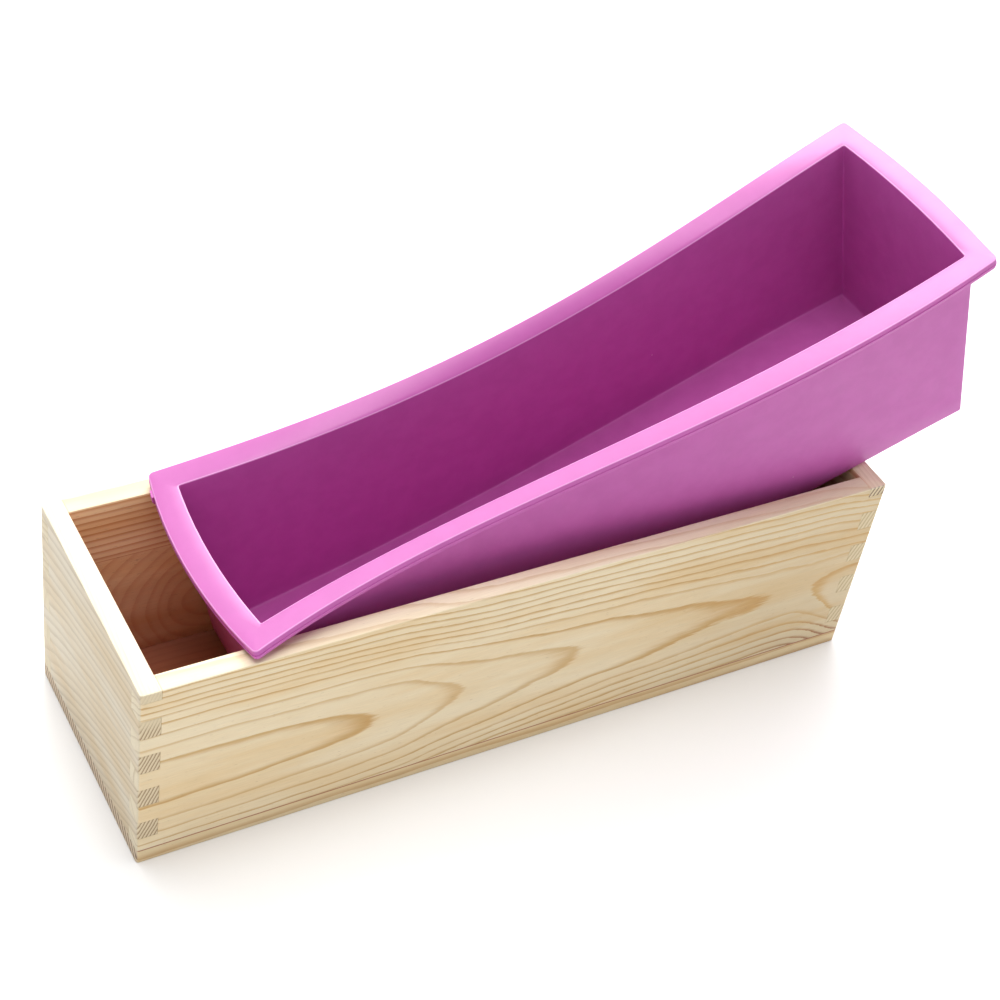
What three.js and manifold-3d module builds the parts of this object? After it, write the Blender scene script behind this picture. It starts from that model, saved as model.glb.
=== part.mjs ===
// Soap loaf mould: a flexible silicone liner that leans in an open box of five thin pine boards.
//
// Millimetres, +Z up. The origin is the middle of the underside of the base board.
// +X runs along the length of the box, and -Y is the front long board.
//
// The box is glued: two long boards and two end boards meet in finger joints, and the base board
// lies under all four. The liner is a separate piece. It is shown as it is lifted out after a pour:
// its left end still lies in the box with its rim on the long boards, and its right end rests on the
// right end board. Silicone flexes, so the trough is bent, its long walls bow inwards and its ends
// bulge. The liner is therefore drawn straight first, and each point is then moved by flexed().

import * as THREE from "three";
import { mergeVertices } from "three/addons/utils/BufferGeometryUtils.js";
import Module from "manifold-3d";

// ---- Box sizes ----
const boxLength = 280;
const boxWidth = 90;
const boxHeight = 80;
const boardThickness = 7;
const baseThickness = 6;
const fingerHeight = 8;
const topFingerHeight = 4;
const glueLine = 0.1;
const cornerRadius = 1;

// ---- Liner sizes, measured on the straight, unflexed liner ----
const linerPlay = 0.7;
const wallThickness = 2.5;
const floorThickness = 3;
const flangeThickness = 4;
const flangeSetback = 1;
const endSetback = 2;
const floorPlay = 0.5;
const wallDraft = 0.5;

// ---- How the liner lies in the box. Its mean tilt is worked out by restingTilt() ----
const restGap = 0.45;
const rimFromLeftEnd = 36;
const tiltGain = degrees(7);
const tiltSag = degrees(-5.8);
const tiltTurn = degrees(-4.6);
const footSwing = 4.2;
const sideSwing = 2.9;
const sideShift = -1.6;

// ---- How far the silicone flexes ----
const frontBow = 5;
const frontBowSkew = -2.9;
const backBow = 13.8;
const bowAtFloor = 0.33;
const leftBulge = 4.9;
const rightBulge = 3;
const frontLipRise = degrees(6.6);
const frontLipGain = degrees(1.9);
const backLipRise = degrees(2.4);
const backLipGain = degrees(23);

// ---- Sizes that follow from the ones above ----
const innerLength = boxLength - 2 * boardThickness;
const innerWidth = boxWidth - 2 * boardThickness;
const wallHeight = boxHeight - baseThickness;
const troughLength = innerLength - 2 * linerPlay;
const troughWidth = innerWidth - 2 * linerPlay;
const troughDepth = wallHeight - floorPlay + flangeThickness;
const flangeLength = boxLength - 2 * endSetback;
const flangeWidth = boxWidth - 2 * flangeSetback;
const openingLength = troughLength - 2 * wallThickness;
const openingWidth = troughWidth - 2 * wallThickness;
const halfFlange = flangeLength / 2;
const halfFlangeWidth = flangeWidth / 2;
const leftEnd = rimFromLeftEnd - boxLength / 2;
const yaw = Math.asin(sideSwing / flangeLength);
const middleLean = Math.asin(footSwing / troughDepth);

// ---- Materials ----
const pine = new THREE.MeshStandardMaterial({ color: 0xdecdaf, roughness: 0.62, metalness: 0 });
const pineEnds = new THREE.MeshStandardMaterial({ color: 0xd7cbb6, roughness: 0.65, metalness: 0 });
const pineBase = new THREE.MeshStandardMaterial({ color: 0xd2bd98, roughness: 0.65, metalness: 0 });
const silicone = new THREE.MeshStandardMaterial({ color: 0xc26ab4, roughness: 0.48, metalness: 0 });

const wasm = await Module();
wasm.setup();
const tilt = restingTilt();

function degrees(angle) {
  return (angle * Math.PI) / 180;
}

// Heights at which the corner joint changes from an end board's finger to a long board's, from the
// top down. The top finger is trimmed, and the lowest takes what is left above the base board.
function fingerLevels() {
  const levels = [boxHeight];
  let next = boxHeight - topFingerHeight;
  while (next > baseThickness + glueLine) {
    levels.push(next);
    next -= fingerHeight;
  }
  levels.push(baseThickness + glueLine);
  return levels;
}

// Outline of a board that stands on edge, with fingers at both ends. Its own fingers reach
// halfSpan and the gaps between them stop at halfSpan less one board, each with half a glue line.
function fingerOutline(halfSpan, ownsTopFinger) {
  const levels = fingerLevels();
  const right = [];
  for (let step = 0; step + 1 < levels.length; step += 1) {
    const isFinger = (step % 2 === 0) === ownsTopFinger;
    const reach = isFinger ? halfSpan : halfSpan - boardThickness - glueLine;
    const trim = isFinger ? glueLine / 2 : -glueLine / 2;
    const top = step === 0 ? levels[0] : levels[step] - trim;
    const bottom = step + 2 === levels.length ? levels[step + 1] : levels[step + 1] + trim;
    right.push(new THREE.Vector2(reach, top), new THREE.Vector2(reach, bottom));
  }
  const left = right.map((point) => new THREE.Vector2(-point.x, point.y)).reverse();
  return new THREE.Shape([...left, ...right].reverse());
}

// A closed geometry as a manifold-3d solid, and back.
function toSolid(geometry) {
  const bare = geometry.clone();
  bare.deleteAttribute("normal");
  bare.deleteAttribute("uv");
  const merged = mergeVertices(bare, 1e-4);
  const mesh = new wasm.Mesh({
    numProp: 3,
    vertProperties: new Float32Array(merged.attributes.position.array),
    triVerts: new Uint32Array(merged.index.array),
  });
  return new wasm.Manifold(mesh);
}

function toGeometry(solid) {
  const mesh = solid.getMesh();
  const geometry = new THREE.BufferGeometry();
  geometry.setAttribute("position", new THREE.BufferAttribute(mesh.vertProperties, 3));
  geometry.setIndex(new THREE.BufferAttribute(mesh.triVerts, 1));
  geometry.computeVertexNormals();
  return geometry;
}

// The outer shape that all five boards share: a block with rounded upright corners.
function boxEnvelope() {
  const x = boxLength / 2;
  const y = boxWidth / 2;
  const r = cornerRadius;
  const outline = new THREE.Shape();
  outline.moveTo(-x + r, -y);
  outline.lineTo(x - r, -y);
  outline.absarc(x - r, -y + r, r, -Math.PI / 2, 0, false);
  outline.lineTo(x, y - r);
  outline.absarc(x - r, y - r, r, 0, Math.PI / 2, false);
  outline.lineTo(-x + r, y);
  outline.absarc(-x + r, y - r, r, Math.PI / 2, Math.PI, false);
  outline.lineTo(-x, -y + r);
  outline.absarc(-x + r, -y + r, r, Math.PI, 1.5 * Math.PI, false);
  return new THREE.ExtrudeGeometry(outline, { depth: boxHeight, bevelEnabled: false, curveSegments: 5 });
}

const envelope = toSolid(boxEnvelope());

function trimmedToBox(geometry) {
  return toGeometry(toSolid(geometry).intersect(envelope));
}

// A long board runs along X and stands at the front or the back.
function longBoard(side) {
  const outline = fingerOutline(boxLength / 2, false);
  const board = new THREE.ExtrudeGeometry(outline, { depth: boardThickness, bevelEnabled: false });
  board.rotateX(Math.PI / 2);
  board.translate(0, side > 0 ? boxWidth / 2 : -boxWidth / 2 + boardThickness, 0);
  return trimmedToBox(board);
}

// An end board runs along Y and stands at the left or the right.
function endBoard(side) {
  const outline = fingerOutline(boxWidth / 2, true);
  const board = new THREE.ExtrudeGeometry(outline, { depth: boardThickness, bevelEnabled: false });
  board.rotateX(Math.PI / 2);
  board.rotateZ(Math.PI / 2);
  board.translate(side > 0 ? boxLength / 2 - boardThickness : -boxLength / 2, 0, 0);
  return trimmedToBox(board);
}

function baseBoard() {
  const board = new THREE.BoxGeometry(boxLength, boxWidth, baseThickness);
  board.translate(0, 0, baseThickness / 2);
  return trimmedToBox(board);
}

// The slope of the trough at a station along its length, from -1 at the left end to 1 at the right.
function slopeAt(station, tilt) {
  return tilt + tiltGain * station + tiltSag * station ** 2 + tiltTurn * station ** 3;
}

// The curved centre line of the rim's top face, found by adding up short steps from its left end.
function centreLine(along, tilt) {
  const steps = 48;
  const step = (along + halfFlange) / steps;
  const point = new THREE.Vector2(0, 0);
  for (let index = 0; index < steps; index += 1) {
    const slope = slopeAt(((index + 0.5) * step) / halfFlange - 1, tilt);
    point.x += step * Math.cos(slope);
    point.y += step * Math.sin(slope);
  }
  return point;
}

// Moves a point of the straight liner to where it is on the flexed one. The straight liner has its
// rim's top face at height 0 and its middle at x = 0. The flexed one has the left end of its rim
// at x = 0.
function flexed(point, tilt) {
  const station = point.x / halfFlange;
  const across = point.y / halfFlangeWidth;
  const depth = THREE.MathUtils.clamp(-point.z / troughDepth, 0, 1);
  const belly = 1 - station ** 2;
  const isBack = point.y > 0;
  const bow = isBack ? backBow : frontBow * (1 + frontBowSkew * station);
  const squeeze = (bow * belly * (1 - (1 - bowAtFloor) * depth)) / halfFlangeWidth;
  const bulge = station > 0 ? rightBulge : leftBulge;
  const along = point.x + bulge * station ** 3 * (1 - across ** 2) * (1 - depth);
  const lip = Math.max(0, Math.abs(point.y) - openingWidth / 2);
  const lipAngle = isBack ? backLipRise + backLipGain * belly : frontLipRise + frontLipGain * belly;
  const drawnIn = Math.sign(point.y) * lip * (1 - Math.cos(lipAngle));
  const y = point.y * (1 - squeeze) - drawnIn;
  const z = point.z + lip * Math.sin(lipAngle);
  const lean = middleLean * belly;
  const leanY = y * Math.cos(lean) - z * Math.sin(lean);
  const leanZ = y * Math.sin(lean) + z * Math.cos(lean);
  const centre = centreLine(along, tilt);
  const slope = slopeAt(along / halfFlange, tilt);
  return new THREE.Vector3(centre.x - leanZ * Math.sin(slope), leanY, centre.y + leanZ * Math.cos(slope));
}

// The height of the rim's left end at which its underside just clears the long boards.
function heightOnLongBoards(tilt) {
  let lowest = Infinity;
  for (let along = 0; along <= halfFlange / 4; along += 1) {
    for (const y of [-halfFlangeWidth, -troughWidth / 2, troughWidth / 2, halfFlangeWidth]) {
      const corner = flexed(new THREE.Vector3(along - halfFlange, y, -flangeThickness), tilt);
      lowest = Math.min(lowest, corner.z);
    }
  }
  return boxHeight + restGap - lowest;
}

// How far the trough's underside passes above the inner top edge of the right end board.
function gapOverEndBoard(tilt) {
  const edge = boxLength / 2 - boardThickness - leftEnd;
  const height = heightOnLongBoards(tilt);
  let gap = Infinity;
  for (const side of [-1, -0.5, 0, 0.5, 1]) {
    const y = side * (troughWidth / 2 - wallDraft);
    let last = null;
    for (let x = 0; x <= troughLength / 2 - wallDraft; x += 1) {
      const foot = flexed(new THREE.Vector3(x, y, -troughDepth), tilt);
      if (last && last.x < edge && foot.x >= edge) {
        const share = (edge - last.x) / (foot.x - last.x);
        gap = Math.min(gap, height + THREE.MathUtils.lerp(last.z, foot.z, share) - boxHeight);
      }
      last = foot;
    }
  }
  return gap;
}

// The tilt at which the liner rests on the long boards and on the right end board together.
function restingTilt() {
  let low = degrees(5);
  let high = degrees(60);
  for (let turn = 0; turn < 30; turn += 1) {
    const middle = (low + high) / 2;
    if (gapOverEndBoard(middle) > restGap) high = middle;
    else low = middle;
  }
  return high;
}

// A block of the straight liner, cut into a grid so that it can flex. Draft narrows it at the foot.
function flexedBlock(length, width, top, bottom, columns, rows, layers, draft) {
  const block = new THREE.BoxGeometry(length, width, top - bottom, columns, rows, layers);
  const places = block.getAttribute("position");
  const point = new THREE.Vector3();
  for (let index = 0; index < places.count; index += 1) {
    point.fromBufferAttribute(places, index);
    const inset = draft * (0.5 - point.z / (top - bottom));
    point.x *= 1 - (2 * inset) / length;
    point.y *= 1 - (2 * inset) / width;
    point.z += (top + bottom) / 2;
    const moved = flexed(point, tilt);
    places.setXYZ(index, moved.x, moved.y, moved.z);
  }
  return toSolid(block);
}

// The liner: a flange around the rim, a trough under it and the hollow that the soap is poured in.
function siliconeLiner() {
  const overcut = 3;
  const underLip = -flangeThickness / 2;
  const floorTop = floorThickness - troughDepth;
  const flange = flexedBlock(flangeLength, flangeWidth, 0, -flangeThickness, 26, 10, 1, 0);
  const trough = flexedBlock(troughLength, troughWidth, underLip, -troughDepth, 26, 8, 5, wallDraft);
  const hollow = flexedBlock(openingLength, openingWidth, overcut, floorTop, 26, 8, 5, wallDraft);
  return toGeometry(flange.add(trough).subtract(hollow));
}

function addMesh(name, geometry, material) {
  const mesh = new THREE.Mesh(geometry, material);
  mesh.name = name;
  group.add(mesh);
  return mesh;
}

const group = new THREE.Group();
addMesh("base_board", baseBoard(), pineBase);
addMesh("front_board", longBoard(-1), pine);
addMesh("back_board", longBoard(1), pine);
addMesh("left_end_board", endBoard(-1), pineEnds);
addMesh("right_end_board", endBoard(1), pineEnds);
const liner = addMesh("silicone_liner", siliconeLiner(), silicone);
liner.position.set(leftEnd, sideShift, heightOnLongBoards(tilt));
liner.rotation.z = yaw;

export default group;
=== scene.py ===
# %% [markdown]
# # A soap loaf mould, built as a lesson in Blender
#
# Soap makers pour a loaf of soap into a soft silicone liner that stands in an open wooden box.
# When the soap is hard, the liner is lifted out and flexed, and the loaf slides free. Here the
# liner is halfway out: its left end still lies in the box, and its right end rests on the box.
#
# The frame gives the exact plain solids and how they move. This script makes the pieces that
# are seen, in metres, with +Z up and the box's length along X.

# %% Load the frame
import math

import bmesh
import bpy
from mathutils import Matrix, Vector


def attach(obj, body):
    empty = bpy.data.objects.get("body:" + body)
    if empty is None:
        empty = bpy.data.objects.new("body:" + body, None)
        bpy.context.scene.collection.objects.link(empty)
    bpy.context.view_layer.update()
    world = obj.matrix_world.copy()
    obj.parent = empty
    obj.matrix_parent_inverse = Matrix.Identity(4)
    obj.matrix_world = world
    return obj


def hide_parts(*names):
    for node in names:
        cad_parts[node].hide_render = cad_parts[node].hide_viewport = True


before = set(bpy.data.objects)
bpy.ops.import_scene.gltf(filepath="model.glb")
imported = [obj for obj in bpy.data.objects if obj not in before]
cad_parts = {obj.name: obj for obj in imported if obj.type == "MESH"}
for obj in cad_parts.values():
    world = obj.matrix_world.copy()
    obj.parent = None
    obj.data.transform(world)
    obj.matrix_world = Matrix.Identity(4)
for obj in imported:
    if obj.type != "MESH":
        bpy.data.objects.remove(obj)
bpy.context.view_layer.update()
print("solids in the frame:", ", ".join(sorted(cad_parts)))

# %% [markdown]
# ## The camera
#
# A product like this is shown from above its left front corner, with a long lens, so that the
# box's edges stay nearly parallel. The camera is placed by a point it stands at and a point it
# looks at. It is also rolled, which makes the loaf mould run upwards across the picture.

# %% Place the camera
def add_camera(place, aim, roll, lens):
    """Adds a camera at a place, looking at a point, with its right side raised by the roll."""
    forward = (Vector(aim) - Vector(place)).normalized()
    level = forward.cross(Vector((0, 0, 1))).normalized()
    above = level.cross(forward)
    right = level * math.cos(roll) + above * math.sin(roll)
    up = right.cross(forward)
    data = bpy.data.cameras.new("studio_camera")
    data.lens = lens
    data.sensor_width = 36.0
    camera = bpy.data.objects.new("studio_camera", data)
    bpy.context.scene.collection.objects.link(camera)
    turn = Matrix((right, up, -forward)).transposed().to_4x4()
    camera.matrix_world = Matrix.Translation(place) @ turn
    bpy.context.scene.camera = camera
    return camera


add_camera(
    place=(-0.29206, -0.42665, 0.53591),
    aim=(0.0099, 0.0040, 0.0706),
    roll=math.radians(10.285),
    lens=73.0,
)
print("camera lens, mm:", bpy.context.scene.camera.data.lens)

# %% [markdown]
# ## Sizes
#
# A joiner starts with a cutting list. These are the same sizes that the plain solids have, so
# every finished piece falls exactly where its solid is.

# %% The cutting list, in metres
BOX_LENGTH = 0.280
BOX_WIDTH = 0.090
BOX_HEIGHT = 0.080
BOARD = 0.007
BASE = 0.006
GLUE = 0.0001
TOP_FINGER = 0.004
FINGER = 0.008
CORNER_RADIUS = 0.001
SOFT_EDGE = 0.00035
JOINT_EDGE = 0.00006
EASE_ABOVE = math.radians(60)
SMOOTH_BELOW = math.radians(40)

HALF_LENGTH = BOX_LENGTH / 2
HALF_WIDTH = BOX_WIDTH / 2


def finger_levels():
    """Heights at which a corner joint changes from one board's finger to the other's."""
    levels = [BOX_HEIGHT]
    level = BOX_HEIGHT - TOP_FINGER
    while level > BASE + GLUE:
        levels.append(level)
        level -= FINGER
    return levels + [BASE + GLUE]


print("finger levels, mm:", [round(level * 1000, 1) for level in finger_levels()])

# %% [markdown]
# ## Working by hand, in code
#
# Every step below is one that is done by hand in Blender: add a primitive, go into edit mode,
# select some faces or edges, and run an operator on them. An operator works on whatever is
# selected, so each helper first clears the selection and then selects by place.

# %% Helpers for selecting
def clear_selection():
    """Leaves edit mode and deselects every object."""
    if bpy.context.object and bpy.context.object.mode != "OBJECT":
        bpy.ops.object.mode_set(mode="OBJECT")
    bpy.ops.object.select_all(action="DESELECT")


def start_block(name, low, high):
    """Adds a cube that reaches from one corner to the other, and opens it in edit mode."""
    clear_selection()
    low, high = Vector(low), Vector(high)
    bpy.ops.mesh.primitive_cube_add(size=1, location=(low + high) / 2, scale=high - low)
    piece = bpy.context.object
    piece.name = name
    piece.data.name = name
    bpy.ops.object.transform_apply(location=True, rotation=True, scale=True)
    bpy.ops.object.mode_set(mode="EDIT")
    return piece


def select_faces(piece, wanted):
    """Selects the faces whose middle and normal are wanted, and returns how many there are."""
    bpy.ops.mesh.select_mode(type="FACE")
    bpy.ops.mesh.select_all(action="DESELECT")
    mesh = bmesh.from_edit_mesh(piece.data)
    chosen = [face for face in mesh.faces if wanted(face.calc_center_median(), face.normal)]
    for face in chosen:
        face.select_set(True)
    bmesh.update_edit_mesh(piece.data)
    return len(chosen)


def select_edges(piece, wanted):
    """Selects the edges whose two ends are wanted, and returns how many there are."""
    bpy.ops.mesh.select_mode(type="EDGE")
    bpy.ops.mesh.select_all(action="DESELECT")
    mesh = bmesh.from_edit_mesh(piece.data)
    chosen = [edge for edge in mesh.edges if wanted(edge.verts[0].co, edge.verts[1].co)]
    for edge in chosen:
        edge.select_set(True)
    bmesh.update_edit_mesh(piece.data)
    return len(chosen)


def cut_across(axis, place):
    """Cuts the whole piece with a flat plane across one axis, and keeps both sides."""
    normal = [0.0, 0.0, 0.0]
    normal[axis] = 1.0
    bpy.ops.mesh.select_all(action="SELECT")
    bpy.ops.mesh.bisect(plane_co=[value * place for value in normal], plane_no=normal)


def near(value, target, slack=1e-5):
    """Tells whether two lengths are the same, but for rounding."""
    return abs(value - target) < slack


# %% A helper that finishes a piece
def finish_piece(piece, body, node, smooth_angle):
    """Applies the modifiers, smooths the rounded parts and hands the piece to the frame."""
    clear_selection()
    piece.select_set(True)
    bpy.context.view_layer.objects.active = piece
    for modifier in list(piece.modifiers):
        bpy.ops.object.modifier_apply(modifier=modifier.name)
    bpy.ops.object.shade_smooth_by_angle(angle=smooth_angle)
    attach(piece, body)
    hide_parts(node)
    size = [round(value * 1000, 1) for value in piece.dimensions]
    print(f"{piece.name}: {len(piece.data.polygons)} faces, {size} mm")


# %% [markdown]
# ## The boards
#
# The box is five thin pine boards. The four that stand are joined at the corners with finger
# joints: each board ends in a row of tongues that fill the gaps in its neighbour. A joiner cuts
# them on a table saw with a stack of blades.
#
# A board starts as a block as long as the space between its shoulders. Planes cut it at the
# height of each finger, and the end faces of its own fingers are extruded by one board's
# thickness. That is the same result as sawing the gaps out, with cleaner faces. The outer
# upright corners are sanded round after glue-up, so each finger's outer edge gets a bevel too.

# %% Make a board with fingers
def own_spans(owns_top_finger):
    """The height of the bottom and top of each finger that a board has."""
    levels = finger_levels()
    spans = []
    for step in range(len(levels) - 1):
        if (step % 2 == 0) == owns_top_finger:
            top = levels[step] - (GLUE / 2 if step > 0 else 0)
            bottom = levels[step + 1] + (GLUE / 2 if step + 2 < len(levels) else 0)
            spans.append((bottom, top))
    return spans


def add_standing_board(name, low, high, along, owns_top_finger):
    """A board on edge from corner to corner, with fingers at both ends of one axis."""
    reach = BOARD + GLUE
    block_low, block_high = list(low), list(high)
    block_low[along] += reach
    block_high[along] -= reach
    piece = start_block(name, block_low, block_high)
    spans = own_spans(owns_top_finger)
    for bottom, top in spans:
        for level in (bottom, top):
            if BASE + 2 * GLUE < level < BOX_HEIGHT - GLUE:
                cut_across(2, level)

    def is_finger_end(centre, normal, side):
        in_span = any(bottom < centre.z < top for bottom, top in spans)
        return in_span and normal[along] * side > 0.9

    for side in (-1, 1):
        select_faces(piece, lambda centre, normal: is_finger_end(centre, normal, side))
        move = [0.0, 0.0, 0.0]
        move[along] = side * reach
        bpy.ops.mesh.extrude_region_move(TRANSFORM_OT_translate={"value": move})
    return piece


def round_outer_corners(piece):
    """Rounds the upright edges that stand at the four corners of the box."""

    def at_corner(point):
        return near(abs(point.x), HALF_LENGTH) and near(abs(point.y), HALF_WIDTH)

    def is_upright(a, b):
        return at_corner(a) and at_corner(b) and not near(a.z, b.z)

    found = select_edges(piece, is_upright)
    bpy.ops.mesh.bevel(offset=CORNER_RADIUS, segments=6, profile=0.5, affect="EDGES")
    return found


def soften_rim(piece, height):
    """Sands the long edges at one height, apart from those that lie in a glued joint."""
    inner_x, inner_y = HALF_LENGTH - BOARD, HALF_WIDTH - BOARD
    slack = GLUE + 1e-5

    def is_outside(a, b):
        def outer(point):
            on_side = near(abs(point.y), HALF_WIDTH) or near(abs(point.x), HALF_LENGTH)
            in_corner = (
                abs(point.x) > HALF_LENGTH - CORNER_RADIUS - slack
                and abs(point.y) > HALF_WIDTH - CORNER_RADIUS - slack
            )
            return on_side or in_corner

        return outer(a) and outer(b)

    def is_inside(a, b):
        on_long = all(near(abs(p.y), inner_y) and abs(p.x) < inner_x + slack for p in (a, b))
        on_end = all(near(abs(p.x), inner_x) and abs(p.y) < inner_y + slack for p in (a, b))
        return on_long or on_end

    def wanted(a, b):
        level = near(a.z, height) and near(b.z, height)
        crosses = near(a.x, b.x) and near(abs(a.x), HALF_LENGTH - BOARD - GLUE)
        return level and not crosses and (is_outside(a, b) or is_inside(a, b))

    found = select_edges(piece, wanted)
    bpy.ops.mesh.bevel(offset=SOFT_EDGE, segments=2, profile=0.5, affect="EDGES")
    return found


def ease_all_edges(piece, width, limit):
    """Adds a Bevel modifier that takes the sharpness off every edge steeper than the limit."""
    bevel = piece.modifiers.new("eased edges", "BEVEL")
    bevel.width = width
    bevel.segments = 2
    bevel.limit_method = "ANGLE"
    bevel.angle_limit = limit


# %% Make the long boards
def make_standing_board(name, node, along, side):
    """Makes the board that runs along one axis and stands on one side of the box."""
    across = 1 - along
    half = (HALF_LENGTH, HALF_WIDTH)
    low, high = [0, 0, BASE + GLUE], [0, 0, BOX_HEIGHT]
    low[along], high[along] = -half[along], half[along]
    low[across], high[across] = sorted((side * half[across], side * (half[across] - BOARD)))
    piece = add_standing_board(name, low, high, along, owns_top_finger=(along == 1))
    corners = round_outer_corners(piece)
    rims = soften_rim(piece, BOX_HEIGHT)
    print(name, "corner edges:", corners, "rim edges:", rims)
    ease_all_edges(piece, JOINT_EDGE, EASE_ABOVE)
    finish_piece(piece, "wood_box", node, SMOOTH_BELOW)
    return piece


front_long_board = make_standing_board("front_long_board", "front_board", 0, -1)
back_long_board = make_standing_board("back_long_board", "back_board", 0, 1)

# %% Make the end boards
left_fingered_end = make_standing_board(
    "left_fingered_end", "left_end_board", 1, -1
)
right_fingered_end = make_standing_board(
    "right_fingered_end", "right_end_board", 1, 1
)

# %% [markdown]
# The base board is glued under the four others, flush with their faces. Its lower edge touches
# the bench, so it is softened in the same way as the rim.

# %% Make the base board
base_panel = start_block(
    "base_panel", (-HALF_LENGTH, -HALF_WIDTH, 0.0), (HALF_LENGTH, HALF_WIDTH, BASE)
)
round_outer_corners(base_panel)
soften_rim(base_panel, 0.0)
ease_all_edges(base_panel, JOINT_EDGE, EASE_ABOVE)
finish_piece(base_panel, "wood_box", "base_board", SMOOTH_BELOW)

# %% [markdown]
# ## The silicone liner
#
# The liner is moulded in one piece: a flat flange around the rim, and under it a trough with
# thin walls that taper a little, so that it comes off its own mould. It is modelled straight,
# as it comes out of the mould: a plate, whose lower face is inset and extruded down to make the
# trough, and whose top face is inset and extruded down again to hollow it out.

# %% The liner's sizes, in metres
FLANGE_LENGTH = 0.276
FLANGE_WIDTH = 0.088
FLANGE = 0.004
TROUGH_LENGTH = 0.2646
TROUGH_WIDTH = 0.0746
TROUGH_DEPTH = 0.0775
LINER_WALL = 0.0025
LINER_FLOOR = 0.003
DRAFT = 0.0005
OPENING_LENGTH = TROUGH_LENGTH - 2 * LINER_WALL
OPENING_WIDTH = TROUGH_WIDTH - 2 * LINER_WALL
FLOOR_TOP = LINER_FLOOR - TROUGH_DEPTH
FLANGE_RADIUS = 0.0018
TROUGH_RADIUS = 0.0012
OPENING_RADIUS = 0.0007
FLOOR_RADIUS = 0.0008
LIP_RADIUS = 0.0004


# %% Model the straight liner
def sink_face(piece, height, facing, length, width, depth):
    """Insets the face at a height to a length and width, then extrudes it down with draft."""
    select_faces(piece, lambda centre, normal: near(centre.z, height) and normal.z * facing > 0.9)
    side = (FLANGE_LENGTH - length) / 2
    bpy.ops.mesh.inset(thickness=side, depth=0)
    left_over = FLANGE_WIDTH - 2 * side
    bpy.ops.transform.resize(value=(1, width / left_over, 1))
    bpy.ops.mesh.extrude_region_move(TRANSFORM_OT_translate={"value": (0, 0, -depth)})
    shrink = ((length - 2 * DRAFT) / length, (width - 2 * DRAFT) / width, 1)
    bpy.ops.transform.resize(value=shrink)


loaf_liner = start_block(
    "loaf_liner",
    (-FLANGE_LENGTH / 2, -FLANGE_WIDTH / 2, -FLANGE),
    (FLANGE_LENGTH / 2, FLANGE_WIDTH / 2, 0),
)
sink_face(loaf_liner, -FLANGE, -1, TROUGH_LENGTH, TROUGH_WIDTH, TROUGH_DEPTH - FLANGE)
sink_face(loaf_liner, 0, 1, OPENING_LENGTH, OPENING_WIDTH, -FLOOR_TOP)
print("straight liner faces:", len(bmesh.from_edit_mesh(loaf_liner.data).faces))


# %% Round the liner's upright corners and floor edges
def is_upright_at(half_length):
    """Makes a test for upright corner edges at about this distance from the middle."""

    def wanted(a, b):
        upright = abs(a.z - b.z) > 0.002
        slack = DRAFT + 2e-4
        return upright and all(abs(abs(p.x) - half_length) < slack for p in (a, b))

    return wanted


def is_floor_edge(height):
    """Makes a test for the edges that lie flat at a height."""
    return lambda a, b: near(a.z, height) and near(b.z, height)


for half_length, radius in (
    (FLANGE_LENGTH / 2, FLANGE_RADIUS),
    (TROUGH_LENGTH / 2, TROUGH_RADIUS),
    (OPENING_LENGTH / 2, OPENING_RADIUS),
):
    found = select_edges(loaf_liner, is_upright_at(half_length))
    bpy.ops.mesh.bevel(offset=radius, segments=5, profile=0.5, affect="EDGES")
    print(f"upright edges rounded to {radius * 1000:.1f} mm:", found)
for height, radius in ((-TROUGH_DEPTH, TROUGH_RADIUS), (FLOOR_TOP, FLOOR_RADIUS)):
    found = select_edges(loaf_liner, is_floor_edge(height))
    bpy.ops.mesh.bevel(offset=radius, segments=3, profile=0.5, affect="EDGES")
    print(f"edges of the floor rounded to {radius * 1000:.1f} mm:", found)

# %% [markdown]
# The mould that the liner was cast in leaves its marks: a soft lip on every rim edge, a thin
# raised line round the flange where its two halves met, and a small nub of flash at the left.

# %% Soften the lips
clear_selection()
loaf_liner.select_set(True)
bpy.context.view_layer.objects.active = loaf_liner
lips = loaf_liner.modifiers.new("soft lips", "BEVEL")
lips.width = LIP_RADIUS
lips.segments = 3
lips.limit_method = "ANGLE"
lips.angle_limit = math.radians(50)
bpy.ops.object.modifier_apply(modifier=lips.name)

# %% Add the parting line, where the two halves of the mould met
bpy.ops.object.mode_set(mode="EDIT")
PARTING_TOP, PARTING_FOOT, PARTING_PROUD = -0.0022, -0.0027, 0.00022
cut_across(2, PARTING_TOP)
cut_across(2, PARTING_FOOT)


def on_flange_side(centre, normal):
    """Tests for the narrow band of faces round the flange."""
    between = PARTING_FOOT < centre.z < PARTING_TOP
    outside = abs(centre.x) > TROUGH_LENGTH / 2 + 0.001 or abs(centre.y) > TROUGH_WIDTH / 2 + 0.001
    return between and outside and abs(normal.z) < 0.5


print("parting line faces:", select_faces(loaf_liner, on_flange_side))
bpy.ops.mesh.extrude_region_shrink_fatten(TRANSFORM_OT_shrink_fatten={"value": PARTING_PROUD})

# %% Pull out the nub, then cut the grid
NUB_FRONT, NUB_BACK, NUB_PROUD = 0.0335, 0.0368, 0.0007
PARTS_ALONG, PARTS_ACROSS, PARTS_DOWN = 60, 12, 9
cut_across(1, NUB_FRONT)
cut_across(1, NUB_BACK)


def on_nub(centre, normal):
    """Tests for the short piece of the parting line that stands out at the left end."""
    at_left_side = centre.x < -FLANGE_LENGTH / 2 + 1e-5
    return at_left_side and NUB_FRONT < centre.y < NUB_BACK


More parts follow.
